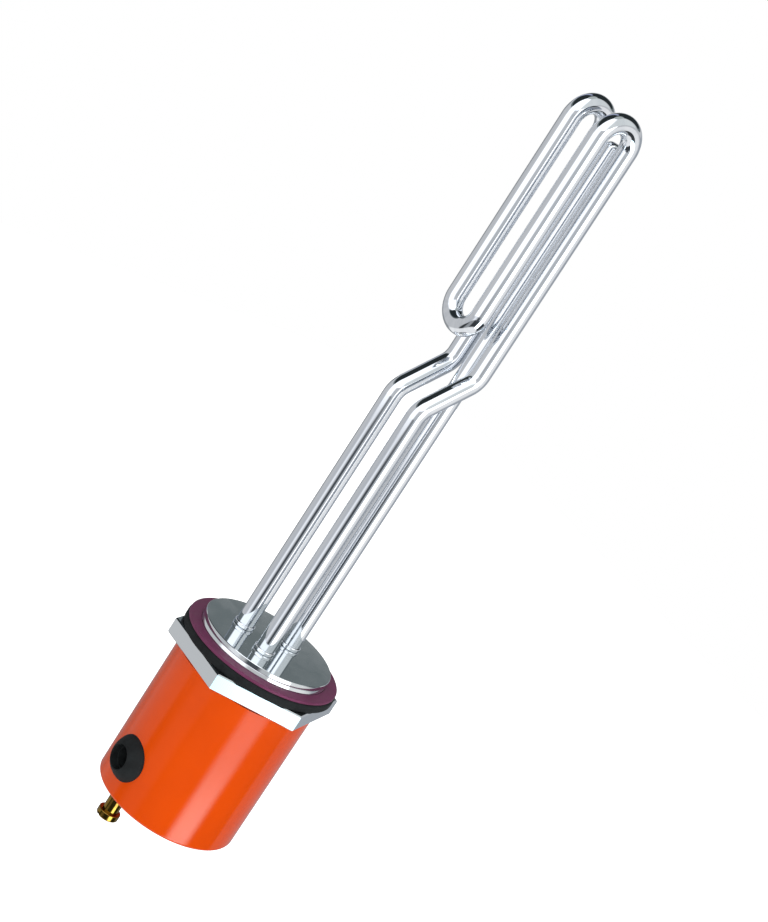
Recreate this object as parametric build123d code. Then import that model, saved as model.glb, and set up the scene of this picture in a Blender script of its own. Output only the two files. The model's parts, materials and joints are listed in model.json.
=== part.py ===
from build123d import *
import os
from math import pi, sqrt

# Solar water heater element: a bent heating tube and a straight thermowell on a hexagonal head,
# two flat gaskets, and a pressed terminal cover with a cable grommet and an earth post.
# Millimetres. +Z runs from the head into the tank, the origin is the centre of the sealing face,
# and X points from the cable side of the cover to the thermowell side.

# Head: hexagon, spigot with its rim, neck that the gaskets sit on, and the register for the cover
hexagon_flats = 67.2
hexagon_thickness = 7.5
hexagon_edge = 0.5
spigot_diameter = 59.6
spigot_height = 4.0
spigot_chamfer = 0.2
spigot_lip = 0.5
rim_land = 0.4
rim_taper_height = 1.2
rim_taper_depth = 0.35
rim_groove_width = 0.5
rim_groove_depth = 0.6
floor_thickness = 9.0
register_height = 5.0
register_wall = 4.5
register_clearance = 0.2
recess_wall = 2.8

# Gaskets
gasket_clearance = 0.1
gasket_width = 5.8
rubber_gasket_thickness = 3.9
rubber_gasket_edge = 0.9
silicone_gasket_inset = 0.4
silicone_gasket_thickness = 1.3
silicone_gasket_edge = 0.35

# Heating tube: sheath, its four runs on the corners of a square, jogs and bends
tube_diameter = 8.2
sheath_wall = 0.7
run_spacing = 17.9
bend_top = 263.8
bend_bottom = 156.2
jog_bottom = 123.8
jog_rise = 19.6
jog_radius = 9.0
tube_tail = 4.0
braze_gap = 0.05

# Thermowell, beside the runs on the symmetry plane
well_offset = 11.3
well_tip_drop = 12.9
well_wall = 0.7
well_tip_radius = 2.6

# Collars at the feet of the three tubes
collar_wall = 0.55
collar_height = 1.9
collar_edge = 0.5

# Cold ends of the heating tube
pin_diameter = 4.0
pin_depth = 45.0
pin_spare = 3.0
slip_gap = 0.05
end_seal_flange = 3.0
end_seal_spigot = 4.0
nut_flats = 7.0
nut_thickness = 3.2
washer_diameter = 9.0
washer_thickness = 0.8
strip_thickness = 0.8
strip_width = 8.0
clamp_drop = 4.3

# Thermostat: stem in the thermowell, moulded housing, dial and reset button
stem_clearance = 0.4
stem_wall = 0.5
stem_tip_gap = 10.0
stem_socket = 6.0
rod_diameter = 2.5
housing_near = 5.2
housing_clearance = 1.6
housing_width = 34.0
housing_drop = 2.3
housing_height = 28.0
housing_edge = 2.5
housing_parting = 9.0
housing_lip = 0.6
neck_boss_diameter = 11.0
tab_width = 6.3
tab_reach = 6.0
tab_root = 5.0
dial_diameter = 14.0
dial_height = 4.0
dial_offset = 7.5
dial_gap = 0.3
dial_notches = 12
dial_notch_width = 1.4
dial_slot_width = 1.2
dial_slot_depth = 1.5
spindle_diameter = 4.0
spindle_length = 8.0
button_diameter = 5.0
button_offset = 9.5
button_height = 2.6
button_travel = 1.5
button_root = 6.0
button_gap = 0.1

# Cover: a pressed can held by one screw on a pillar
cover_diameter = 64.8
cover_wall = 1.2
cover_height = 68.0
cover_edge_radius = 1.5
cover_seal_thickness = 0.8
cover_seal_inset = 0.4
pillar_flats = 7.0
pillar_spigot_diameter = 5.0
pillar_spigot_length = 4.5
screw_diameter = 4.0
screw_length = 11.0
screw_head_diameter = 8.0
screw_head_height = 2.8
screw_slot_width = 1.2
screw_slot_depth = 1.3
cover_washer_diameter = 10.0
clearance_hole = 0.25

# Cable grommet in the cover's side
cable_bore_diameter = 9.0
cable_recess_step = 0.8
cable_recess_depth = 3.3
grommet_height = 17.65
grommet_reach = 4.6
grommet_lip = 0.35
grommet_neck_wall = 3.0
grommet_dome_rise = 2.5
grommet_flange_rise = 1.8
grommet_flange_thickness = 3.4
grommet_bulge = 0.3
grommet_foot = 0.2

# Earth post on the cover's closed end
post_inset = 7.7
post_diameter = 7.0
post_length = 8.7
post_head_diameter = 9.9
post_head_height = 3.3
post_head_edge = 0.8
post_slot_width = 1.2
post_slot_depth = 1.4
post_stud_diameter = 5.0
post_nut_flats = 8.0
post_nut_thickness = 4.0
post_washer_diameter = 10.0
post_stud_spare = 1.4

# Earth screw and tag inside the head
earth_inset = 9.0
earth_screw_depth = 5.0
earth_head_diameter = 7.0
earth_head_height = 2.4
earth_ring_diameter = 8.0
earth_blade_width = 6.3
earth_blade_drop = 9.0

# Diameters and places across the axis, worked out from the sizes above
neck_diameter = spigot_diameter - 2 * spigot_lip
recess_diameter = neck_diameter - 2 * recess_wall
gasket_bore = spigot_diameter + 2 * gasket_clearance
rubber_gasket_diameter = gasket_bore + 2 * gasket_width
silicone_gasket_diameter = rubber_gasket_diameter - 2 * silicone_gasket_inset
collar_diameter = tube_diameter + 2 * (braze_gap + collar_wall)
run_half = run_spacing / 2
leg_places = {"a": (-run_half, run_half), "b": (-run_half, -run_half)}
well_place = (well_offset, 0)
sheath_bore = tube_diameter - 2 * sheath_wall
well_bore = tube_diameter - 2 * well_wall
stem_diameter = well_bore - 2 * stem_clearance
cover_radius = cover_diameter / 2
cover_bore = cover_diameter - 2 * cover_wall
register_diameter = cover_bore - 2 * register_clearance
housing_far = sqrt((cover_bore / 2 - housing_clearance) ** 2 - (housing_width / 2) ** 2)
housing_centre = (housing_near + housing_far) / 2
cable_recess_diameter = cable_bore_diameter + 2 * cable_recess_step
grommet_end_diameter = cable_recess_diameter + 2 * grommet_lip
grommet_neck_diameter = cable_bore_diameter + 2 * grommet_neck_wall
grommet_diameter = grommet_neck_diameter + 2 * grommet_dome_rise
grommet_flange_diameter = grommet_neck_diameter + 2 * grommet_flange_rise
post_place = (post_inset - cover_radius, 0)
earth_place = (earth_inset - recess_diameter / 2, 0)

# Levels along the axis, worked out from the sizes above
jog_top = jog_bottom + jog_rise
well_tip = bend_top - well_tip_drop
stem_top = well_tip - well_wall - stem_tip_gap
hexagon_top = -(silicone_gasket_thickness + rubber_gasket_thickness)
hexagon_bottom = hexagon_top - hexagon_thickness
register_bottom = hexagon_bottom - register_height
floor_level = spigot_height - floor_thickness
cover_mouth = hexagon_bottom - cover_seal_thickness
cover_end = cover_mouth - cover_height
cover_inside = cover_end + cover_wall
tail_level = floor_level - tube_tail
cable_level = cover_end + grommet_height
housing_top = register_bottom - housing_drop
housing_bottom = housing_top - housing_height
clamp_top = register_bottom - clamp_drop
strip_top = clamp_top - nut_thickness
strip_bottom = strip_top - strip_thickness
clamp_bottom = strip_bottom - washer_thickness - nut_thickness
pin_tip = clamp_bottom - pin_spare


def bar(diameter, low, high, place=(0, 0)):
    """Round bar along Z between two levels."""
    middle = Pos(place[0], place[1], (low + high) / 2)
    return middle * Cylinder(diameter / 2, high - low)


def ring(outer, inner, low, high, place=(0, 0)):
    """Flat ring along Z between two levels."""
    return bar(outer, low, high, place) - bar(inner, low - 1, high + 1, place)


def hexagon(flats, low, high, place=(0, 0), turn=30):
    """Hexagonal bar along Z between two levels, given across its flats."""
    outline = RegularPolygon(flats / 2, 6, major_radius=False, rotation=turn)
    return extrude(Pos(place[0], place[1], low) * outline, high - low)


def block(x_range, y_range, z_range):
    """Square block between three pairs of limits."""
    sizes = [high - low for low, high in (x_range, y_range, z_range)]
    centre = [(high + low) / 2 for low, high in (x_range, y_range, z_range)]
    return Pos(*centre) * Box(*sizes)


def save(part, name):
    """Writes one piece as its own STEP file."""
    export_step(part, f"parts/{name}.step")


def tube_path(end_level):
    """Centre line of the heating tube, from one leg's end level round to the other's."""
    top = bend_top - tube_diameter / 2 - run_half
    bottom = bend_bottom + tube_diameter / 2 + run_half
    left, right = -run_half, run_half
    with BuildLine() as path:
        FilletPolyline((left, right, end_level), (left, right, jog_bottom),
                       (right, right, jog_top), (right, right, top), radius=jog_radius)
        ThreePointArc((right, right, top), (0, right, top + run_half), (left, right, top))
        Line((left, right, top), (left, right, bottom))
        ThreePointArc((left, right, bottom), (left, 0, bottom - run_half), (left, left, bottom))
        Line((left, left, bottom), (left, left, top))
        ThreePointArc((left, left, top), (0, left, top + run_half), (right, left, top))
        FilletPolyline((right, left, top), (right, left, jog_top),
                       (left, left, jog_bottom), (left, left, end_level), radius=jog_radius)
    return path.wire()


def bent_bar(diameter, end_level):
    """Round bar swept along the heating tube's centre line."""
    start = Plane(origin=(-run_half, run_half, end_level), z_dir=(0, 0, 1))
    return sweep(start * Circle(diameter / 2), path=tube_path(end_level))


def make_spigot():
    """Rimmed disc that enters the tank: a land, a slight taper, a groove, and the rim above it."""
    radius = spigot_diameter / 2
    taper_top = rim_land + rim_taper_height
    rim_bottom = taper_top + rim_groove_width
    with BuildSketch(Plane.XZ) as section:
        with BuildLine():
            Polyline((0, 0), (radius, 0), (radius, rim_land), (radius - rim_taper_depth, taper_top),
                     (radius - rim_groove_depth, taper_top), (radius - rim_groove_depth, rim_bottom),
                     (radius, rim_bottom), (radius, spigot_height - spigot_chamfer),
                     (radius - spigot_chamfer, spigot_height), (0, spigot_height), (0, 0))
        make_face()
    return revolve(section.sketch, Axis.Z)


def make_head():
    """Chromed head: hexagon, neck, rimmed spigot, and a ring-shaped register behind for the cover."""
    hexagon_part = hexagon(hexagon_flats, hexagon_bottom, hexagon_top)
    rims = hexagon_part.edges().filter_by(Plane.XY)
    head = chamfer(rims, hexagon_edge)
    head += bar(neck_diameter, hexagon_top, 0) + make_spigot()
    head += ring(register_diameter, register_diameter - 2 * register_wall, register_bottom, hexagon_bottom)
    head -= bar(recess_diameter, hexagon_bottom, floor_level)
    for place in [*leg_places.values(), well_place]:
        head -= bar(tube_diameter + 2 * braze_gap, floor_level, spigot_height, place)
    head -= bar(pillar_spigot_diameter + 2 * slip_gap, floor_level, floor_level + pillar_spigot_length)
    return head - bar(screw_diameter + 2 * slip_gap, floor_level, floor_level + earth_screw_depth, earth_place)


def make_gasket(diameter, low, high, edge):
    """Flat gasket with softened outer edges, bored to pass over the head's spigot."""
    outer = bar(diameter, low, high)
    outer = fillet(outer.edges().filter_by(GeomType.CIRCLE), edge)
    return outer - bar(gasket_bore, low - 1, high + 1)


def make_sheath():
    """Heating tube: a thin sheath bent to two hairpins that are joined at their inner ends."""
    return bent_bar(tube_diameter, tail_level) - bent_bar(sheath_bore, tail_level)


def make_fill():
    """Pressed magnesia core inside the sheath, bored at both ends for the terminal pins."""
    level = tail_level + end_seal_spigot
    fill = bent_bar(sheath_bore - 2 * slip_gap, level)
    for place in leg_places.values():
        fill -= bar(pin_diameter + 2 * slip_gap, level, tail_level + pin_depth, place)
    return fill


def make_pin(place):
    """Terminal pin, from the magnesia core out to the wiring side."""
    pin = bar(pin_diameter, pin_tip, tail_level + pin_depth, place)
    return chamfer(pin.edges().group_by(Axis.Z)[0], pin_diameter / 8)


def make_end_seal(place):
    """Ceramic bush that closes the sheath and carries the pin."""
    flange = bar(tube_diameter, tail_level - end_seal_flange, tail_level, place)
    flange = fillet(flange.edges().group_by(Axis.Z)[0], end_seal_flange / 4)
    spigot = bar(sheath_bore - 2 * slip_gap, tail_level, tail_level + end_seal_spigot, place)
    bore = bar(pin_diameter + 2 * slip_gap, tail_level - end_seal_flange - 1,
               tail_level + end_seal_spigot + 1, place)
    return flange + spigot - bore


def make_nut(flats, bore, low, high, place):
    """Hexagonal nut with chamfered corners."""
    nut = hexagon(flats, low, high, place)
    corner_cone = Pos(place[0], place[1], (low + high) / 2) * Cylinder(flats / 2 * 1.1, high - low)
    nut &= chamfer(corner_cone.edges().filter_by(GeomType.CIRCLE), flats / 20)
    return nut - bar(bore, low - 1, high + 1, place)


def make_thermowell():
    """Closed well tube with a flattened dome at its tip."""
    outer = bar(tube_diameter, tail_level, well_tip, well_place)
    outer = fillet(outer.edges().group_by(Axis.Z)[-1], well_tip_radius)
    inner = bar(well_bore, tail_level, well_tip - well_wall, well_place)
    inner = fillet(inner.edges().group_by(Axis.Z)[-1], well_tip_radius - well_wall)
    return outer - inner


def make_collar(place):
    """Collar on the disc, round the foot of one tube, rounded like a bead above and below."""
    collar = bar(collar_diameter, spigot_height, spigot_height + collar_height, place)
    collar = fillet(collar.edges().filter_by(GeomType.CIRCLE), collar_edge)
    bore = bar(tube_diameter + 2 * braze_gap, spigot_height, spigot_height + collar_height, place)
    return collar - bore


def make_stem():
    """Closed stem tube of the thermostat, inside the thermowell."""
    low = housing_top - stem_socket
    bore = bar(stem_diameter - 2 * stem_wall, low, stem_top - stem_wall, well_place)
    return bar(stem_diameter, low, stem_top, well_place) - bore


def make_housing():
    """Moulded thermostat housing: two-level body, neck boss, and sockets for what it carries."""
    span = (-housing_width / 2, housing_width / 2)
    parting = housing_top - housing_parting
    body = block((housing_near, housing_far), span, (parting, housing_top))
    body = fillet(body.edges().filter_by(Axis.Z), housing_edge)
    lid_x = (housing_near + housing_lip, housing_far - housing_lip)
    lid_y = (span[0] + housing_lip, span[1] - housing_lip)
    lid = block(lid_x, lid_y, (housing_bottom, parting))
    lid = fillet(lid.edges().filter_by(Axis.Z), housing_edge - housing_lip)
    lid = fillet(lid.edges().group_by(Axis.Z)[0], housing_lip)
    housing = body + lid
    housing += bar(neck_boss_diameter, housing_top, tail_level, well_place)
    housing -= bar(stem_diameter + 2 * slip_gap, housing_top - stem_socket, tail_level, well_place)
    housing -= bar(spindle_diameter + 2 * slip_gap, housing_bottom,
                   housing_bottom + spindle_length + dial_gap, (housing_centre, dial_offset))
    housing -= bar(button_diameter + 2 * button_gap, housing_bottom,
                   housing_bottom + button_root + button_travel + dial_gap, (housing_centre, -button_offset))
    for tab_y in (run_half, -run_half):
        housing -= tab(tab_y, slip_gap)
    return housing


def tab(tab_y, gap=0.0):
    """Flat terminal tab that stands out of the housing's near side, grown by a gap for its slot."""
    half = tab_width / 2 + gap
    return block((housing_near - tab_reach, housing_near + tab_root + gap), (tab_y - half, tab_y + half),
                 (strip_bottom - strip_thickness - gap, strip_bottom + gap))


def make_dial():
    """Adjusting dial with a notched rim, a screwdriver slot and its spindle."""
    place = (housing_centre, dial_offset)
    high = housing_bottom - dial_gap
    low = high - dial_height
    dial = bar(dial_diameter, low, high, place)
    dial = fillet(dial.edges().group_by(Axis.Z)[0], dial_height / 5)
    notch = bar(dial_notch_width, low, high)
    for step in range(dial_notches):
        turn = Rot(0, 0, step * 360 / dial_notches)
        dial -= Pos(place[0], place[1], 0) * turn * Pos(dial_diameter / 2, 0, 0) * notch
    slot = block((-dial_diameter / 3, dial_diameter / 3), (-dial_slot_width / 2, dial_slot_width / 2),
                 (low, low + dial_slot_depth))
    dial -= Pos(place[0], place[1], 0) * slot
    return dial + bar(spindle_diameter, high, housing_bottom + spindle_length, place)


def make_button():
    """Reset button that stands out of the housing."""
    place = (housing_centre, -button_offset)
    button = bar(button_diameter, housing_bottom - button_height, housing_bottom + button_root, place)
    return fillet(button.edges().group_by(Axis.Z)[0], button_diameter / 8)


def clamped_strip(place, reach):
    """Flat strip clamped on a pin, with a rounded end round the pin and a square far end."""
    half = strip_width / 2
    x_range = sorted((place[0], reach))
    strip = block(x_range, (place[1] - half, place[1] + half), (strip_bottom, strip_top))
    strip += bar(strip_width, strip_bottom, strip_top, place)
    return strip - bar(pin_diameter + 2 * slip_gap, strip_bottom - 1, strip_top + 1, place)


def make_pillar():
    """Hexagonal pillar between the head and the cover's end, tapped for the cover screw."""
    pillar = hexagon(pillar_flats, cover_inside, floor_level)
    pillar += bar(pillar_spigot_diameter, floor_level, floor_level + pillar_spigot_length - slip_gap)
    return pillar - bar(screw_diameter + 2 * slip_gap, cover_inside, cover_inside + screw_length)


def make_cover():
    """Pressed can with a rounded closed end, a side hole for the grommet and two end holes."""
    outer = bar(cover_diameter, cover_end, cover_mouth)
    outer = fillet(outer.edges().group_by(Axis.Z)[0], cover_edge_radius)
    inner = bar(cover_bore, cover_inside, cover_mouth)
    inner = fillet(inner.edges().group_by(Axis.Z)[0], cover_edge_radius - cover_wall)
    cover = outer - inner
    cover -= sideways(bar(grommet_neck_diameter, cover_radius / 2, cover_radius + 1))
    cover -= bar(screw_diameter + 2 * clearance_hole, cover_end, cover_inside)
    return cover - bar(post_stud_diameter + 2 * clearance_hole, cover_end, cover_inside, post_place)


def sideways(part):
    """Turns a piece made along +Z to the cable side, so that it points along -X at the cable's level."""
    return Pos(0, 0, cable_level) * Rot(0, -90, 0) * part


def make_grommet():
    """Domed rubber grommet, grooved for the cover's wall, with a recessed cable bore."""
    end = cover_radius + grommet_reach
    base, tip = grommet_diameter / 2, grommet_end_diameter / 2
    root = cover_radius - grommet_flange_thickness
    shoulder = cover_radius - grommet_foot
    middle = ((base + tip) / 2 + grommet_bulge, (shoulder + end) / 2 + grommet_bulge)
    with BuildSketch(Plane.XZ) as section:
        with BuildLine():
            Polyline((0, end), (0, root), (base, root), (base, shoulder))
            ThreePointArc((base, shoulder), middle, (tip, end))
            Line((tip, end), (0, end))
        make_face()
    dome = sideways(revolve(section.sketch, Axis.Z))
    dome -= bar(cover_diameter, cable_level - grommet_diameter, cable_level + grommet_diameter)
    flange = sideways(bar(grommet_flange_diameter, root - cover_wall, cover_radius))
    flange &= bar(cover_bore, cable_level - grommet_diameter, cable_level + grommet_diameter)
    neck = sideways(bar(grommet_neck_diameter, root - cover_wall, cover_radius + grommet_reach / 3))
    grommet = dome + neck + flange
    grommet -= sideways(bar(cable_bore_diameter, root - cover_wall - 1, end + 1))
    return grommet - sideways(bar(cable_recess_diameter, end - cable_recess_depth, end + 1))


def make_slotted_head(diameter, low, high, edge, slot_width, slot_depth, place=(0, 0)):
    """Cheese head that faces down, with a rounded rim and a straight slot."""
    head = bar(diameter, low, high, place)
    head = fillet(head.edges().group_by(Axis.Z)[0], edge)
    slot = block((place[0] - diameter, place[0] + diameter),
                 (place[1] - slot_width / 2, place[1] + slot_width / 2), (low, low + slot_depth))
    return head - slot


def make_cover_screw():
    """Screw that holds the cover to the pillar."""
    high = cover_end - washer_thickness
    head = make_slotted_head(screw_head_diameter, high - screw_head_height, high, screw_head_height / 3,
                             screw_slot_width, screw_slot_depth)
    return head + bar(screw_diameter, high, cover_inside + screw_length - 1)


def make_earth_post():
    """Turned brass post: slotted head, plain shank and a stud through the cover's end."""
    shank_low = cover_end - post_length
    head = make_slotted_head(post_head_diameter, shank_low - post_head_height, shank_low, post_head_edge,
                             post_slot_width, post_slot_depth, post_place)
    head = fillet(head.edges().filter_by(GeomType.CIRCLE).group_by(Axis.Z)[-1], post_head_edge / 2)
    stud_top = cover_inside + washer_thickness + post_nut_thickness + post_stud_spare
    shank = bar(post_diameter, shank_low, cover_end, post_place)
    return head + shank + bar(post_stud_diameter, cover_end, stud_top, post_place)


def make_earth_screw():
    """Earth screw in the head's floor."""
    high = floor_level - strip_thickness
    head = make_slotted_head(earth_head_diameter, high - earth_head_height, high, earth_head_height / 3,
                             screw_slot_width, screw_slot_depth, earth_place)
    return head + bar(screw_diameter, high, floor_level + earth_screw_depth - slip_gap, earth_place)


def make_earth_tag():
    """Ring tag under the earth screw, with a blade bent down for the lead."""
    high, low = floor_level, floor_level - strip_thickness
    half = earth_blade_width / 2
    bend_x = earth_place[0] - earth_ring_diameter / 2 - strip_thickness
    tag = bar(earth_ring_diameter, low, high, earth_place)
    tag += block((bend_x, earth_place[0]), (-half, half), (low, high))
    tag += block((bend_x, bend_x + strip_thickness), (-half, half), (low - earth_blade_drop, high))
    return tag - bar(screw_diameter + 2 * slip_gap, low - 1, high + 1, earth_place)


def pin_clamp_nuts():
    """Two nuts on each terminal pin, one either side of its strip and washer."""
    bore = pin_diameter + 2 * slip_gap
    return [make_nut(nut_flats, bore, high - nut_thickness, high, place)
            for place in leg_places.values() for high in (clamp_top, clamp_bottom + nut_thickness)]


def pin_washers():
    """One washer on each terminal pin, under its strip."""
    low = strip_bottom - washer_thickness
    bore = pin_diameter + 2 * slip_gap
    return [ring(washer_diameter, bore, low, strip_bottom, place) for place in leg_places.values()]


def report_tube(sheath):
    """Prints the sheath's volume beside its wall section times its centre line's length."""
    length = tube_path(tail_level).length
    section = pi / 4 * (tube_diameter ** 2 - sheath_bore ** 2)
    print(f"heating tube: centre line {length:.1f} mm, "
          f"volume {sheath.volume:.1f}, expected {section * length:.1f}")


def main():
    """Builds every piece and writes its file."""
    os.makedirs("parts", exist_ok=True)
    sheath = make_sheath()
    report_tube(sheath)
    save(make_head(), "hex_head")
    save(make_gasket(rubber_gasket_diameter, hexagon_top, -silicone_gasket_thickness, rubber_gasket_edge),
         "rubber_gasket")
    save(make_gasket(silicone_gasket_diameter, -silicone_gasket_thickness, 0, silicone_gasket_edge),
         "silicone_gasket")
    save(sheath, "heating_tube")
    save(make_fill(), "magnesia_core")
    for letter, place in leg_places.items():
        save(make_pin(place), f"terminal_pin_{letter}")
        save(make_end_seal(place), f"end_seal_{letter}")
        save(make_collar(place), f"collar_{letter}")
    save(make_collar(well_place), "collar_well")
    save(Compound(pin_clamp_nuts()), "pin_nuts")
    save(Compound(pin_washers()), "pin_washers")
    save(make_thermowell(), "thermowell")
    save(make_stem(), "thermostat_stem")
    save(bar(rod_diameter, housing_top - stem_socket, stem_top - stem_wall, well_place), "expansion_rod")
    save(make_housing(), "thermostat_housing")
    save(Compound([tab(run_half), tab(-run_half)]), "thermostat_tabs")
    save(make_dial(), "thermostat_dial")
    save(make_button(), "reset_button")
    save(clamped_strip(leg_places["b"], housing_near - 1), "live_link")
    save(clamped_strip(leg_places["a"], -run_half - strip_width * 1.5), "neutral_tag")
    save(make_pillar(), "cover_pillar")
    save(make_cover(), "cover")
    save(ring(cover_diameter - 2 * cover_seal_inset, cover_bore, cover_mouth, hexagon_bottom), "cover_seal")
    save(make_cover_screw(), "cover_screw")
    save(ring(cover_washer_diameter, screw_diameter + 2 * slip_gap, cover_end - washer_thickness, cover_end),
         "cover_washer")
    save(make_grommet(), "cable_grommet")
    save(make_earth_post(), "earth_post")
    post_bore = post_stud_diameter + 2 * slip_gap
    washer_top = cover_inside + washer_thickness
    save(ring(post_washer_diameter, post_bore, cover_inside, washer_top, post_place), "earth_post_washer")
    save(make_nut(post_nut_flats, post_bore, washer_top, washer_top + post_nut_thickness, post_place),
         "earth_post_nut")
    save(make_earth_screw(), "inner_earth_screw")
    save(make_earth_tag(), "inner_earth_tag")


main()
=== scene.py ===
"""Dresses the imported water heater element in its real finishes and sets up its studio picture.

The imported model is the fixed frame, in metres, with +Z from the head into the tank. The polished tubes, whose
reflections show every facet, are made again here as fine surfaces, and every other node keeps its own mesh.
"""
import json
import logging
import math
from dataclasses import dataclass, field
from enum import Enum

import bpy
import numpy as np
from mathutils import Matrix, Vector

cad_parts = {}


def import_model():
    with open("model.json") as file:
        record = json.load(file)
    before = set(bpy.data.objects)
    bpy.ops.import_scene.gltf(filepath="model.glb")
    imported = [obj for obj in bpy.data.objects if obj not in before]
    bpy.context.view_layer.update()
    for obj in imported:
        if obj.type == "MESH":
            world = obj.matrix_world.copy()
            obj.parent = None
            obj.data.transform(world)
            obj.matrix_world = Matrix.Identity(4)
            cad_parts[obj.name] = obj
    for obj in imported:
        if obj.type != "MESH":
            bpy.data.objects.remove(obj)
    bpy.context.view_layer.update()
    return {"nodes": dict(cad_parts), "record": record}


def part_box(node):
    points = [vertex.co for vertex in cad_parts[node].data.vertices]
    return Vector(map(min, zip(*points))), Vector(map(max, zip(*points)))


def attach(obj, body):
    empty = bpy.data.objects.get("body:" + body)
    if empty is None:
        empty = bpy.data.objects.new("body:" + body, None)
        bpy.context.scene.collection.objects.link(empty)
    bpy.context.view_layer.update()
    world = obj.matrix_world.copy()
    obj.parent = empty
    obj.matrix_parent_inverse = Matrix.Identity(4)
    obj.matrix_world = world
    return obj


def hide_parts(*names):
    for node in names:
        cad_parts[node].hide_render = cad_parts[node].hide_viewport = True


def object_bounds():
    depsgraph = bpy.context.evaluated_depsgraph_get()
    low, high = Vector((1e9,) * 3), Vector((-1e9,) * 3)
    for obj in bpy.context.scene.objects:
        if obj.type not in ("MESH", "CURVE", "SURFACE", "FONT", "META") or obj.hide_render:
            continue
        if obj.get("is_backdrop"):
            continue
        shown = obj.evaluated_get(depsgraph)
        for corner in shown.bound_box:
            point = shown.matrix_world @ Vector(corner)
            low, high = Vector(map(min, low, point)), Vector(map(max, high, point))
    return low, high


MM = 0.001
BODY = "heater"
LOG = logging.getLogger("heater_element")


def linear(code: str) -> tuple[float, float, float, float]:
    """Turns an sRGB hex colour into linear light.

    Args:
        code: the colour, such as "#E85008".

    Returns:
        Red, green, blue and an alpha of 1.
    """
    channels = np.array([int(code[start:start + 2], 16) for start in (1, 3, 5)]) / 255
    values = np.where(channels <= 0.04045, channels / 12.92, ((channels + 0.055) / 1.055) ** 2.4)
    return (*values.tolist(), 1.0)


def per_metre(size_mm: float) -> float:
    """Gives the scale of a noise pattern whose features are this many millimetres wide."""
    return 1 / (size_mm * MM)


def wave_scale(pitch_mm: float) -> float:
    """Gives the scale of a wave pattern that repeats at this pitch: its phase is twenty times the distance."""
    return 2 * math.pi / (20 * pitch_mm * MM)


def add_node(tree: bpy.types.NodeTree, kind: str, settings: dict | None = None,
             inputs: dict | None = None) -> bpy.types.Node:
    """Adds one shader node with its settings and links.

    Args:
        tree: the node tree that takes it.
        kind: the node's type, such as "ShaderNodeBump".
        settings: values of the node's own properties.
        inputs: for each socket, by name or number, its value or the output that feeds it.

    Returns:
        The new node.
    """
    node = tree.nodes.new(kind)
    for name, value in (settings or {}).items():
        setattr(node, name, value)
    for key, value in (inputs or {}).items():
        if isinstance(value, bpy.types.NodeSocket):
            tree.links.new(value, node.inputs[key])
        else:
            node.inputs[key].default_value = value
    return node


class Coordinates(Enum):
    """What a finish's pattern is measured in."""

    FRAME = "Object"
    SURFACE = "UV"


@dataclass(frozen=True)
class Finish:
    """One surface finish: its colour, how light meets it, and the fine relief and stains that it has."""

    name: str
    colour: str
    roughness: tuple[float, float]
    stain: str | None = None
    stain_size_mm: float = 6.0
    metallic: float = 0.0
    ior: float = 1.5
    specular: float = 0.5
    coat: float = 0.0
    coat_roughness: float = 0.03
    coat_ior: float = 1.5
    coordinates: Coordinates = Coordinates.FRAME

    def relief(self, tree: bpy.types.NodeTree, place: bpy.types.NodeSocket) -> bpy.types.NodeSocket | None:
        """Gives the surface normal with this finish's fine relief, or None where it has none."""
        return None

    def patches(self, tree: bpy.types.NodeTree, place: bpy.types.NodeSocket) -> bpy.types.NodeSocket:
        """Gives the soft cloudy mask, from 0 to 1, that roughness and stains follow."""
        cloud = add_node(tree, "ShaderNodeTexNoise", {"normalize": True},
                         {"Vector": place, "Scale": per_metre(self.stain_size_mm), "Detail": 4.0})
        spread = add_node(tree, "ShaderNodeMapRange", {"interpolation_type": "SMOOTHSTEP"},
                          {"Value": cloud.outputs["Fac"], "From Min": 0.35, "From Max": 0.65})
        return spread.outputs["Result"]

    def build(self) -> bpy.types.Material:
        """Makes the material.

        Returns:
            A material with one Principled shader.
        """
        material = bpy.data.materials.new(self.name)
        material.use_nodes = True
        tree = material.node_tree
        tree.nodes.clear()
        place = add_node(tree, "ShaderNodeTexCoord").outputs[self.coordinates.value]
        mask = self.patches(tree, place)
        inputs = {"Base Color": linear(self.colour), "Metallic": self.metallic,
                  "Coat Weight": self.coat, "Coat Roughness": self.coat_roughness, "Coat IOR": self.coat_ior}
        if not self.metallic:
            inputs |= {"IOR": self.ior, "Specular IOR Level": self.specular}
        if self.stain:
            blend = add_node(tree, "ShaderNodeMix", {"data_type": "RGBA"},
                             {0: mask, 6: linear(self.colour), 7: linear(self.stain)})
            inputs["Base Color"] = blend.outputs[2]
        rough = add_node(tree, "ShaderNodeMapRange", None,
                         {"Value": mask, "To Min": self.roughness[0], "To Max": self.roughness[1]})
        inputs["Roughness"] = rough.outputs["Result"]
        normal = self.relief(tree, place)
        if normal:
            inputs |= {"Normal": normal, "Coat Normal": normal}
        shader = add_node(tree, "ShaderNodeBsdfPrincipled", None, inputs)
        add_node(tree, "ShaderNodeOutputMaterial", None, {"Surface": shader.outputs[0]})
        return material


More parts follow.
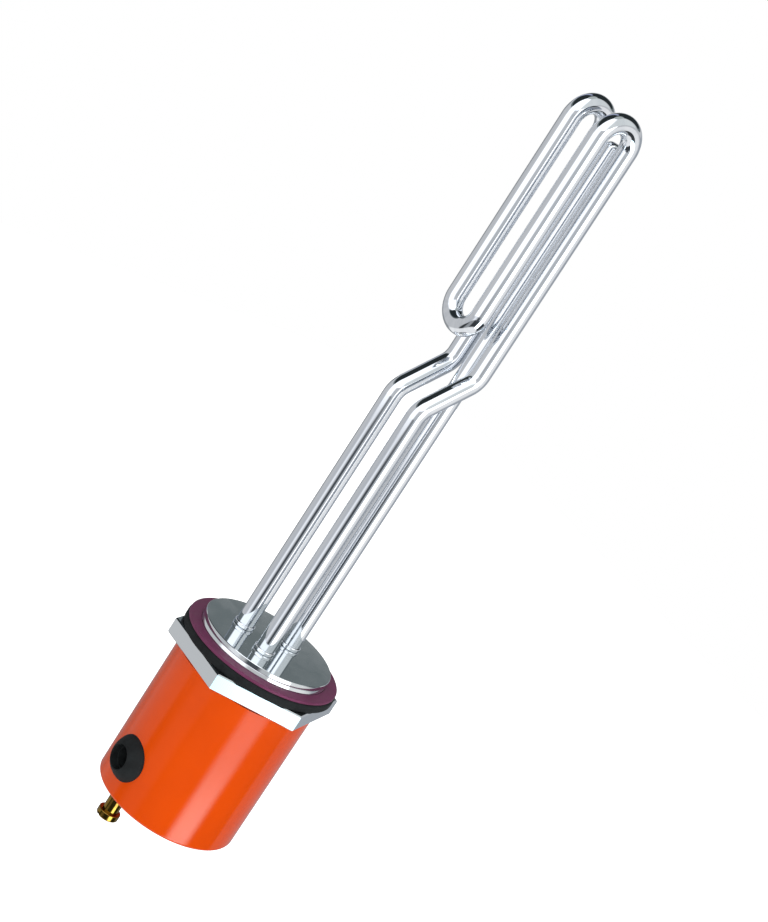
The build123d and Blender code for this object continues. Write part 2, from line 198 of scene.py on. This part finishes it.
@dataclass(frozen=True)
class GrainedFinish(Finish):
    """A finish with an even grain, such as orange peel in paint, mould texture or a pressed powder."""

    grain_mm: float = 1.0
    grain_height_mm: float = 0.01
    grain_stretch: tuple[float, float, float] = (1.0, 1.0, 1.0)

    def relief(self, tree: bpy.types.NodeTree, place: bpy.types.NodeSocket) -> bpy.types.NodeSocket:
        """Gives the normal of a noise surface with the grain's width, height and stretch."""
        stretched = add_node(tree, "ShaderNodeMapping", None, {"Vector": place, "Scale": self.grain_stretch})
        grain = add_node(tree, "ShaderNodeTexNoise", {"normalize": True},
                         {"Vector": stretched.outputs[0], "Scale": per_metre(self.grain_mm), "Detail": 3.0})
        bump = add_node(tree, "ShaderNodeBump", None,
                        {"Height": grain.outputs["Fac"], "Distance": self.grain_height_mm * MM})
        return bump.outputs["Normal"]


@dataclass(frozen=True)
class TurnedFinish(Finish):
    """A finish on lathe-turned metal, with the fine rings that the tool leaves round an axis."""

    ring_pitch_mm: float = 0.3
    ring_depth_mm: float = 0.0004
    wave_type: str = "RINGS"
    centre_mm: tuple[float, float, float] = (0.0, 0.0, 0.0)

    def relief(self, tree: bpy.types.NodeTree, place: bpy.types.NodeSocket) -> bpy.types.NodeSocket:
        """Gives the normal of a wave surface, in rings round the axis or in bands along it."""
        centre = [-value * MM for value in self.centre_mm]
        moved = add_node(tree, "ShaderNodeMapping", None, {"Vector": place, "Location": centre})
        wave = add_node(tree, "ShaderNodeTexWave",
                        {"wave_type": self.wave_type, "rings_direction": "Z", "bands_direction": "Z"},
                        {"Vector": moved.outputs[0], "Scale": wave_scale(self.ring_pitch_mm),
                         "Distortion": 0.6, "Detail": 2.0})
        bump = add_node(tree, "ShaderNodeBump", None,
                        {"Height": wave.outputs["Fac"], "Distance": self.ring_depth_mm * MM})
        return bump.outputs["Normal"]


# Nickel and chrome plate on turned brass: a cool mirror, very slightly softened by the lathe's rings
CHROME_PLATE = TurnedFinish("chrome_plate", "#E0E4E6", (0.03, 0.07), metallic=1.0, stain_size_mm=9.0,
                            ring_pitch_mm=0.35, ring_depth_mm=0.0003)

# Bright annealed stainless tube: a mirror drawn out along the tube by the die, faintly clouded by handling
BRIGHT_TUBE = GrainedFinish("bright_stainless_tube", "#E6E9ED", (0.03, 0.07), stain="#DCE0E5",
                            stain_size_mm=12.0, metallic=1.0, coordinates=Coordinates.SURFACE,
                            grain_mm=1.6, grain_height_mm=0.0005, grain_stretch=(0.02, 1.0, 1.0))

# Zinc plate, clear passivated: a soft grey metal with a faint cloudy bloom
ZINC_PLATE = GrainedFinish("zinc_plate", "#C3C7CC", (0.24, 0.38), stain="#B2B3A8", stain_size_mm=2.5,
                           metallic=1.0, grain_mm=0.25, grain_height_mm=0.002)

# Turned brass, bright: yellow, with tool lines across the stem and a little brown tarnish
TURNED_BRASS = TurnedFinish("turned_brass", "#9A7D33", (0.09, 0.18), stain="#80632A", stain_size_mm=2.0,
                            metallic=1.0, wave_type="BANDS", ring_pitch_mm=0.25, ring_depth_mm=0.0015)

# Stoving enamel on pressed steel: a saturated colour under a clear gloss with a little orange peel
ORANGE_ENAMEL = GrainedFinish("orange_stoving_enamel", "#E95006", (0.4, 0.5), stain="#E54E08",
                              stain_size_mm=25.0, specular=0.0, coat=1.0, coat_roughness=0.1, coat_ior=1.35,
                              grain_mm=2.2, grain_height_mm=0.004)

# Moulded EPDM rubber: near black, satin, with a pale bloom in patches
BLACK_RUBBER = GrainedFinish("moulded_epdm_rubber", "#1B1D1E", (0.56, 0.7), stain="#222526",
                             stain_size_mm=4.0, ior=1.52, specular=0.1, grain_mm=0.35, grain_height_mm=0.012)

# Moulded silicone: a dusty purple with a soft satin skin
PURPLE_SILICONE = GrainedFinish("moulded_silicone", "#6C3453", (0.36, 0.48), stain="#743A5B",
                                stain_size_mm=5.0, ior=1.41, specular=0.2, grain_mm=0.5, grain_height_mm=0.008)

# Pressed magnesia powder: chalky and dead matt
PRESSED_MAGNESIA = GrainedFinish("pressed_magnesia", "#F1F0E9", (0.9, 0.98), stain="#E4E1D6",
                                 stain_size_mm=1.5, specular=0.2, grain_mm=0.2, grain_height_mm=0.03)

# Fired steatite: cream, with a dry eggshell surface
FIRED_STEATITE = GrainedFinish("fired_steatite", "#ECE6D6", (0.5, 0.62), stain="#DFD6C0",
                               stain_size_mm=2.0, ior=1.6, grain_mm=0.3, grain_height_mm=0.01)

# Phenolic moulding: black, with the dull polish of its mould
PHENOLIC = GrainedFinish("phenolic_moulding", "#232425", (0.34, 0.46), stain="#2A2A2A",
                         stain_size_mm=7.0, ior=1.6, grain_mm=0.6, grain_height_mm=0.006)

# Moulded nylon for the dial and the button: smooth, with a faint ripple from the mould
WHITE_NYLON = GrainedFinish("white_nylon", "#E6E5E0", (0.26, 0.36), stain="#DEDBD2",
                            stain_size_mm=5.0, ior=1.53, grain_mm=1.2, grain_height_mm=0.004)
RED_NYLON = GrainedFinish("red_nylon", "#CB3030", (0.26, 0.36), stain="#BE2828",
                          stain_size_mm=3.0, ior=1.53, grain_mm=1.2, grain_height_mm=0.004)

FINISH_OF_SLOT = {
    "head": CHROME_PLATE, "tube": BRIGHT_TUBE, "steel": ZINC_PLATE, "brass": TURNED_BRASS,
    "magnesia": PRESSED_MAGNESIA, "end_seal": FIRED_STEATITE, "black_rubber": BLACK_RUBBER,
    "purple_silicone": PURPLE_SILICONE, "orange_paint": ORANGE_ENAMEL, "black_plastic": PHENOLIC,
    "dial_plastic": WHITE_NYLON, "button_plastic": RED_NYLON,
}


def surface_piece(name: str, points: np.ndarray, material: bpy.types.Material,
                  scale: tuple[float, float], sharp_degrees: float = 35.0) -> bpy.types.Object:
    """Makes a closed ring-shaped piece from a grid of points that joins up in both directions.

    Vertex (row, column) joins its next row and its next column, and the last row and column join the first.
    The UV map runs along the rows and the columns in metres.

    Args:
        name: the piece's name.
        points: an array of rows by columns by 3, in metres, turning so that faces look outwards.
        material: the finish.
        scale: metres of surface along all the rows and along all the columns.
        sharp_degrees: edges that turn by more than this are shaded sharp.

    Returns:
        The new object, which rides on the heater body.
    """
    rows, columns = points.shape[:2]
    row, column = np.meshgrid(np.arange(rows), np.arange(columns), indexing="ij")
    corners = np.stack([np.stack([row, column], -1), np.stack([row + 1, column], -1),
                        np.stack([row + 1, column + 1], -1), np.stack([row, column + 1], -1)], axis=2)
    corners = corners.reshape(-1, 4, 2)
    faces = (corners[..., 0] % rows) * columns + corners[..., 1] % columns
    mesh = bpy.data.meshes.new(name)
    mesh.from_pydata(points.reshape(-1, 3), [], faces.tolist())
    layer = mesh.uv_layers.new(name="surface")
    layer.data.foreach_set("uv", (corners / (rows, columns) * scale).astype(np.float32).ravel())
    mesh.shade_smooth()
    mesh.set_sharp_from_angle(angle=math.radians(sharp_degrees))
    mesh.materials.append(material)
    piece = bpy.data.objects.new(name, mesh)
    bpy.context.scene.collection.objects.link(piece)
    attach(piece, BODY)
    return piece


def turned_points(profile: np.ndarray, columns: int, place: tuple[float, float] = (0.0, 0.0)) -> np.ndarray:
    """Turns a closed profile round a vertical axis: (r, z) becomes (x + r cos t, y + r sin t, z).

    Args:
        profile: radius and height of each point, in metres, in the order that makes faces look outwards.
        columns: points round the axis.
        place: where the axis stands.

    Returns:
        An array of profile points by columns by 3.
    """
    angle = np.arange(columns) * 2 * np.pi / columns
    radius = profile[:, :1]
    height = np.broadcast_to(profile[:, 1:], (len(profile), columns))
    return np.stack([place[0] + radius * np.cos(angle), place[1] + radius * np.sin(angle), height], -1)


def arc(centre: tuple[float, float], radius: float, start: float, end: float, count: int) -> np.ndarray:
    """Gives points on a round arc of a profile, between two angles in degrees, ends included."""
    angle = np.radians(np.linspace(start, end, count))
    return np.stack([centre[0] + radius * np.cos(angle), centre[1] + radius * np.sin(angle)], -1)


@dataclass
class BentTube:
    """The heating tube, made the way it is bent: feeds along a straight bar, and bends about a turned plane.

    Sizes are in millimetres. The hairpins' outer ends and the run spacing are read from the frame.
    """

    node: str = "heating_tube"
    wall: float = 0.7
    diameter: float = 8.2
    lower_bend: float = 156.2
    jog_bottom: float = 123.8
    jog_rise: float = 19.6
    jog_radius: float = 9.0
    columns: int = 72
    straight_rows: int = 6
    degrees_per_row: float = 3.0
    rows: list = field(default_factory=list)
    pose: Matrix = field(default_factory=Matrix)

    def feed(self, length: float) -> None:
        """Adds a straight length: each row is the last ring moved along the bar's own axis."""
        for step in np.linspace(0, length, self.straight_rows)[1:]:
            self.rows.append(np.array(self.pose @ Matrix.Translation((0, 0, step))))
        self.pose = self.pose @ Matrix.Translation((0, 0, length))

    def bend(self, radius: float, degrees: float, plane: float) -> None:
        """Adds a bend: each row is the last ring turned about an axis at the bend's centre.

        Args:
            radius: centre line's bend radius.
            degrees: how far the bar turns.
            plane: which way it bends, as an angle in the bar's own cross section.
        """
        to_plane = Matrix.Rotation(math.radians(plane), 4, "Z")
        centre = Matrix.Translation((radius, 0, 0))
        count = max(2, round(degrees / self.degrees_per_row))
        for angle in np.radians(np.linspace(0, degrees, count + 1)[1:]):
            turned = centre @ Matrix.Rotation(angle, 4, "Y") @ centre.inverted()
            self.rows.append(np.array(self.pose @ to_plane @ turned @ to_plane.inverted()))
        self.pose = Matrix(self.rows[-1])

    def centre_line(self) -> np.ndarray:
        """Runs the bending programme from one leg's end round to the other's.

        Returns:
            One 4 by 4 matrix for each ring, in millimetres.
        """
        low, high = (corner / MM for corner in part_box(self.node))
        half = (high.x - low.x - self.diameter) / 2
        turn = math.degrees(math.atan2(2 * half, self.jog_rise))
        set_back = self.jog_radius * math.tan(math.radians(turn / 2))
        slant = math.hypot(2 * half, self.jog_rise) - 2 * set_back
        jog_top = self.jog_bottom + self.jog_rise
        upper = high.z - self.diameter / 2 - half
        lower = self.lower_bend + self.diameter / 2 + half
        self.pose = Matrix.Translation((-half, half, low.z))
        self.rows = [np.array(self.pose)]
        leg = self.jog_bottom - set_back - low.z
        self.feed(leg)
        self.bend(self.jog_radius, turn, 0)
        self.feed(slant)
        self.bend(self.jog_radius, turn, 180)
        self.feed(upper - jog_top - set_back)
        self.bend(half, 180, 180)
        self.feed(upper - lower)
        self.bend(half, 180, -90)
        self.feed(upper - lower)
        self.bend(half, 180, 180)
        self.feed(upper - jog_top - set_back)
        self.bend(self.jog_radius, turn, 180)
        self.feed(slant)
        self.bend(self.jog_radius, turn, 0)
        self.feed(leg)
        return np.stack(self.rows)

    def build(self, material: bpy.types.Material) -> bpy.types.Object:
        """Carries a ring along the centre line, outside and then back inside, and joins the two at the ends."""
        frames = self.centre_line()
        angle = np.arange(self.columns) * 2 * np.pi / self.columns
        ring = np.stack([np.cos(angle), np.sin(angle)])
        outer, inner = (np.einsum("rij,jc->rci", frames[:, :3, :2], ring * radius) + frames[:, None, :3, 3]
                        for radius in (self.diameter / 2, self.diameter / 2 - self.wall))
        points = np.concatenate([outer, inner[::-1]]) * MM
        steps = np.linalg.norm(np.diff(frames[:, :3, 3], axis=0), axis=1)
        size = (2 * steps.sum() * MM, math.pi * self.diameter * MM)
        piece = surface_piece("heating_tube_bright", points[:, ::-1], material, size)
        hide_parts(self.node)
        return piece


@dataclass
class WellTube:
    """The thermowell: a straight tube with a flattened dome, made again as one turned surface."""

    node: str = "thermowell"
    wall: float = 0.7
    tip_radius: float = 2.6
    columns: int = 72
    arc_points: int = 12

    def build(self, material: bpy.types.Material) -> bpy.types.Object:
        """Turns the profile: up the outside, over the tip, and down the inside, with a pin hole's width at the axis."""
        low, high = (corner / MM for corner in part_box(self.node))
        radius = (high.x - low.x) / 2
        centre = (low.x + high.x) / 2
        inside = radius - self.wall
        pole = 0.001
        tip = arc((radius - self.tip_radius, high.z - self.tip_radius), self.tip_radius, 0, 90, self.arc_points)
        cave_radius = self.tip_radius - self.wall
        cave = arc((radius - self.tip_radius, high.z - self.tip_radius), cave_radius, 90, 0, self.arc_points)
        top = high.z
        profile = np.concatenate([
            [[radius, low.z]], tip, [[pole, top], [pole, top - self.wall]], cave, [[inside, low.z]]]) * MM
        points = turned_points(profile, self.columns, (centre * MM, 0))
        piece = surface_piece("thermowell_bright", points[:, ::-1], material,
                              (2 * (high.z - low.z) * MM, 2 * math.pi * radius * MM))
        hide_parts(self.node)
        return piece


@dataclass(frozen=True)
class StudioPanel:
    """One card or softbox of the studio, placed by direction from the object.

    Azimuths are in degrees to the right of the camera and elevations in degrees above the horizon. The sides
    fade over the softness, and the lower and upper edges over the blur.
    """

    name: str
    colour: str
    strength: float
    azimuth: float
    half_width: float
    lowest: float
    highest: float
    softness: float = 6.0
    blur: float = 3.0


@dataclass
class Studio:
    """Camera, lamps, floor and the surroundings that the polished metal mirrors."""

    azimuth: float = -44.889
    elevation: float = 15.005
    roll: float = 33.0
    place: tuple[float, float, float] = (-0.5923, -0.5932, 0.3203)
    lens_mm: float = 84.22
    sensor_mm: float = 36.0
    floor_drop: float = 0.25
    floor_size: float = 3.0
    ambient: float = 0.45

    panels: tuple[StudioPanel, ...] = (
        StudioPanel("table", "#3C3F42", 1.0, 17, 92, -48, -21.8, 8, 0.6),
        StudioPanel("left back wall", "#989B9E", 1.0, -158, 30, -50, 12, 12),
        StudioPanel("right back wall", "#A8ADB4", 1.0, 145, 33, -50, 12, 12),
        StudioPanel("left wall", "#C8CBD1", 1.0, -69, 8, -21.8, -12, 8, 4.0),
        StudioPanel("grey between", "#C8CBCE", 1.0, 20, 22, -21.8, 8, 10, 3.0),
        StudioPanel("right reflector", "#FFFFFF", 0.95, 79, 25, -21.8, 10, 30, 0.6),
        StudioPanel("right softbox", "#FFFFFF", 2.6, 48.5, 19, -21.8, 19, 2.5, 0.6),
        StudioPanel("softbox skirt", "#C8F4FF", 3.7, 46, 17, -60, -21.8, 14, 0.6),
        StudioPanel("softbox foot", "#FFFFFF", 8.5, 46, 14, -75, -24.8, 14, 1.2),
        StudioPanel("left softbox", "#FBFCFF", 1.5, -36, 26, -13, 19, 12, 2.0),
        StudioPanel("left softbox foot", "#F8FAFF", 1.1, -38, 11, -21.8, -13, 10, 2.0),
        StudioPanel("left softbox skirt", "#A0A3A6", 1.0, -44, 14, -50, -21.8, 12, 0.6),
        StudioPanel("dark gap", "#50555B", 1.0, -2, 13, -27, -12, 10, 8.0),
        StudioPanel("upper dark wall", "#70787A", 1.0, 180, 115, 19.5, 27, 8, 2.0),
        StudioPanel("upper right card", "#D2D6D6", 1.2, 60, 50, 19.5, 80, 20, 3.0),
        StudioPanel("upper softbox", "#F8FBFF", 1.75, -20, 42, 19, 80, 20, 3.0),
        StudioPanel("dark loft", "#2A3032", 1.0, -154, 92, 25.5, 76, 10, 3.0),
        StudioPanel("back window", "#B4BCD8", 1.0, -150, 5, 9, 62, 5, 6.0),
        StudioPanel("floor", "#FFFFFF", 1.0, 0, 180, -90, -48, 8, 8.0),
        StudioPanel("ceiling", "#B9C0BE", 1.0, 0, 180, 76, 90, 4, 6.0),
    )
    walls: str = "#CFD0D2"

    def add_camera(self) -> None:
        """Aims the camera by azimuth, elevation and roll, and makes it the scene's own."""
        turn, rise, roll = (math.radians(value) for value in (self.azimuth, self.elevation, self.roll))
        back = Vector((math.sin(turn) * math.cos(rise), -math.cos(turn) * math.cos(rise), math.sin(rise)))
        right = (-back).cross(Vector((0, 0, 1))).normalized()
        up = right.cross(-back)
        across = right * math.cos(roll) + up * math.sin(roll)
        upward = up * math.cos(roll) - right * math.sin(roll)
        data = bpy.data.cameras.new("camera")
        data.sensor_fit = "VERTICAL"
        data.sensor_height = self.sensor_mm
        data.lens = self.lens_mm
        camera = bpy.data.objects.new("camera", data)
        camera.matrix_world = Matrix((across, upward, back)).transposed().to_4x4()
        camera.location = self.place
        bpy.context.scene.collection.objects.link(camera)
        bpy.context.scene.camera = camera

    def add_lamp(self, name: str, side: float, rise: float, distance: float, size: float, share: float) -> None:
        """Adds a square lamp aimed at the object's middle, hidden from reflections.

        Args:
            name: the lamp's name.
            side: degrees to the right of the camera.
            rise: degrees above the horizon.
            distance: metres from the object's middle.
            size: the lamp's side in metres.
            share: brightness that it gives to a white surface that faces it.
        """
        turn, lift = math.radians(self.azimuth + side), math.radians(rise)
        towards = Vector((math.sin(turn) * math.cos(lift), -math.cos(turn) * math.cos(lift), math.sin(lift)))
        low, high = (Vector(corner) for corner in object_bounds())
        data = bpy.data.lights.new(name, "AREA")
        data.size = size
        data.energy = share * (math.pi * distance) ** 2
        lamp = bpy.data.objects.new(name, data)
        lamp.location = (low + high) / 2 + towards * distance
        lamp.rotation_euler = towards.to_track_quat("Z", "Y").to_euler()
        lamp.visible_glossy = False
        bpy.context.scene.collection.objects.link(lamp)

    def window(self, tree: bpy.types.NodeTree, value: bpy.types.NodeSocket, middle: float, half: float,
               soft: float) -> bpy.types.NodeSocket:
        """Gives 1 where a value is within half of the middle, falling smoothly to 0 over the soft width."""
        apart = add_node(tree, "ShaderNodeMath", {"operation": "SUBTRACT"}, {0: value, 1: middle})
        size = add_node(tree, "ShaderNodeMath", {"operation": "ABSOLUTE"}, {0: apart.outputs[0]})
        mask = add_node(tree, "ShaderNodeMapRange", {"interpolation_type": "SMOOTHSTEP"},
                        {"Value": size.outputs[0], "From Min": half - soft / 2, "From Max": half + soft / 2,
                         "To Min": 1.0, "To Max": 0.0})
        return mask.outputs["Result"]

    def surroundings(self, tree: bpy.types.NodeTree) -> bpy.types.NodeSocket:
        """Lays the panels over the plain walls, each one where its two windows overlap.

        Args:
            tree: the world's node tree.

        Returns:
            The colour seen in each direction.
        """
        view = add_node(tree, "ShaderNodeTexCoord").outputs["Generated"]
        parts = add_node(tree, "ShaderNodeSeparateXYZ", None, {0: view}).outputs
        rise = add_node(tree, "ShaderNodeMath", {"operation": "ARCSINE"}, {0: parts["Z"]})
        degrees = add_node(tree, "ShaderNodeMath", {"operation": "MULTIPLY"}, {0: rise.outputs[0], 1: 180 / math.pi})
        flat = add_node(tree, "ShaderNodeCombineXYZ", None, {"X": parts["X"], "Y": parts["Y"]})
        level = add_node(tree, "ShaderNodeVectorMath", {"operation": "NORMALIZE"}, {0: flat.outputs[0]})
        colour = linear(self.walls)
        for panel in self.panels:
            turn = math.radians(self.azimuth + panel.azimuth)
            towards = (math.sin(turn), -math.cos(turn), 0)
            facing = add_node(tree, "ShaderNodeVectorMath", {"operation": "DOT_PRODUCT"},
                              {0: level.outputs[0], 1: towards})
            angle = add_node(tree, "ShaderNodeMath", {"operation": "ARCCOSINE"}, {0: facing.outputs["Value"]})
            away = add_node(tree, "ShaderNodeMath", {"operation": "MULTIPLY"},
                            {0: angle.outputs[0], 1: 180 / math.pi})
            across = self.window(tree, away.outputs[0], 0, panel.half_width, panel.softness)
            middle, half = (panel.lowest + panel.highest) / 2, (panel.highest - panel.lowest) / 2
            along = self.window(tree, degrees.outputs[0], middle, half, panel.blur)
            mask = add_node(tree, "ShaderNodeMath", {"operation": "MULTIPLY"}, {0: across, 1: along})
            light = [channel * panel.strength for channel in linear(panel.colour)[:3]] + [1.0]
            mix = add_node(tree, "ShaderNodeMix", {"data_type": "RGBA"}, {0: mask.outputs[0], 6: colour, 7: light})
            colour = mix.outputs[2]
        return colour

    def add_world(self) -> None:
        """Makes the world: white to the camera, the studio to reflections, and plain soft light to the rest."""
        world = bpy.data.worlds.new("studio")
        bpy.context.scene.world = world
        world.use_nodes = True
        tree = world.node_tree
        tree.nodes.clear()
        path = add_node(tree, "ShaderNodeLightPath").outputs
        soft = add_node(tree, "ShaderNodeBackground", None, {"Color": (1, 1, 1, 1), "Strength": self.ambient})
        studio = add_node(tree, "ShaderNodeBackground", None, {"Color": self.surroundings(tree), "Strength": 1.0})
        white = add_node(tree, "ShaderNodeBackground", None, {"Color": (1, 1, 1, 1), "Strength": 1.0})
        mirrored = add_node(tree, "ShaderNodeMath", {"operation": "MAXIMUM"},
                            {0: path["Is Glossy Ray"], 1: path["Is Transmission Ray"]})
        lit = add_node(tree, "ShaderNodeMixShader", None,
                       {0: mirrored.outputs[0], 1: soft.outputs[0], 2: studio.outputs[0]})
        seen = add_node(tree, "ShaderNodeMixShader", None,
                        {0: path["Is Camera Ray"], 1: lit.outputs[0], 2: white.outputs[0]})
        add_node(tree, "ShaderNodeOutputWorld", None, {"Surface": seen.outputs[0]})

    def add_floor(self) -> None:
        """Lays a pale floor well below the element, which shows its shadow and stays out of its reflections."""
        low = Vector(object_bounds()[0])
        half = self.floor_size / 2
        level = low.z - self.floor_drop
        mesh = bpy.data.meshes.new("floor")
        corners = [(-half, -half, level), (half, -half, level), (half, half, level), (-half, half, level)]
        mesh.from_pydata(corners, [], [(0, 1, 2, 3)])
        material = bpy.data.materials.new("pale_floor")
        material.use_nodes = True
        tree = material.node_tree
        tree.nodes.clear()
        camera_ray = add_node(tree, "ShaderNodeLightPath").outputs["Is Camera Ray"]
        paint = add_node(tree, "ShaderNodeBsdfDiffuse", None, {"Color": linear("#EDEDED")})
        lift = add_node(tree, "ShaderNodeEmission", None, {"Color": (1, 1, 1, 1), "Strength": camera_ray})
        both = add_node(tree, "ShaderNodeAddShader", None, {0: paint.outputs[0], 1: lift.outputs[0]})
        add_node(tree, "ShaderNodeOutputMaterial", None, {"Surface": both.outputs[0]})
        mesh.materials.append(material)
        floor = bpy.data.objects.new("floor", mesh)
        floor.visible_glossy = False
        bpy.context.scene.collection.objects.link(floor)
        floor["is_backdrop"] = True

    def build(self) -> None:
        """Sets up the camera, the lamps, the world, the floor and the plain view transform."""
        self.add_camera()
        self.add_lamp("front", -6, 10, 1.3, 0.9, 0.42)
        self.add_lamp("right", 62, 15, 1.3, 0.9, 0.3)
        self.add_lamp("top", -10, 78, 1.2, 0.9, 0.25)
        self.add_world()
        self.add_floor()
        bpy.context.scene.view_settings.view_transform = "Standard"


def dress_nodes(frame: dict, materials: dict[str, bpy.types.Material]) -> None:
    """Gives every CAD node the finish of its record slot.

    Args:
        materials: the finished material of each slot.
    """
    for entry in frame["record"]["subparts"]:
        node = frame["nodes"][entry["node"]]
        node.data.materials.clear()
        node.data.materials.append(materials[entry["material_slot"]])


def main() -> None:
    """Builds the pieces in order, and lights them."""
    logging.basicConfig(level=logging.INFO, format="%(name)s: %(message)s")
    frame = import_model()
    materials = {slot: finish.build() for slot, finish in FINISH_OF_SLOT.items()}
    dress_nodes(frame, materials)
    for maker in (BentTube(), WellTube()):
        piece = maker.build(materials["tube"])
        LOG.info("%s: %d faces", piece.name, len(piece.data.polygons))
    Studio().build()


if __name__ == "__main__":
    main()
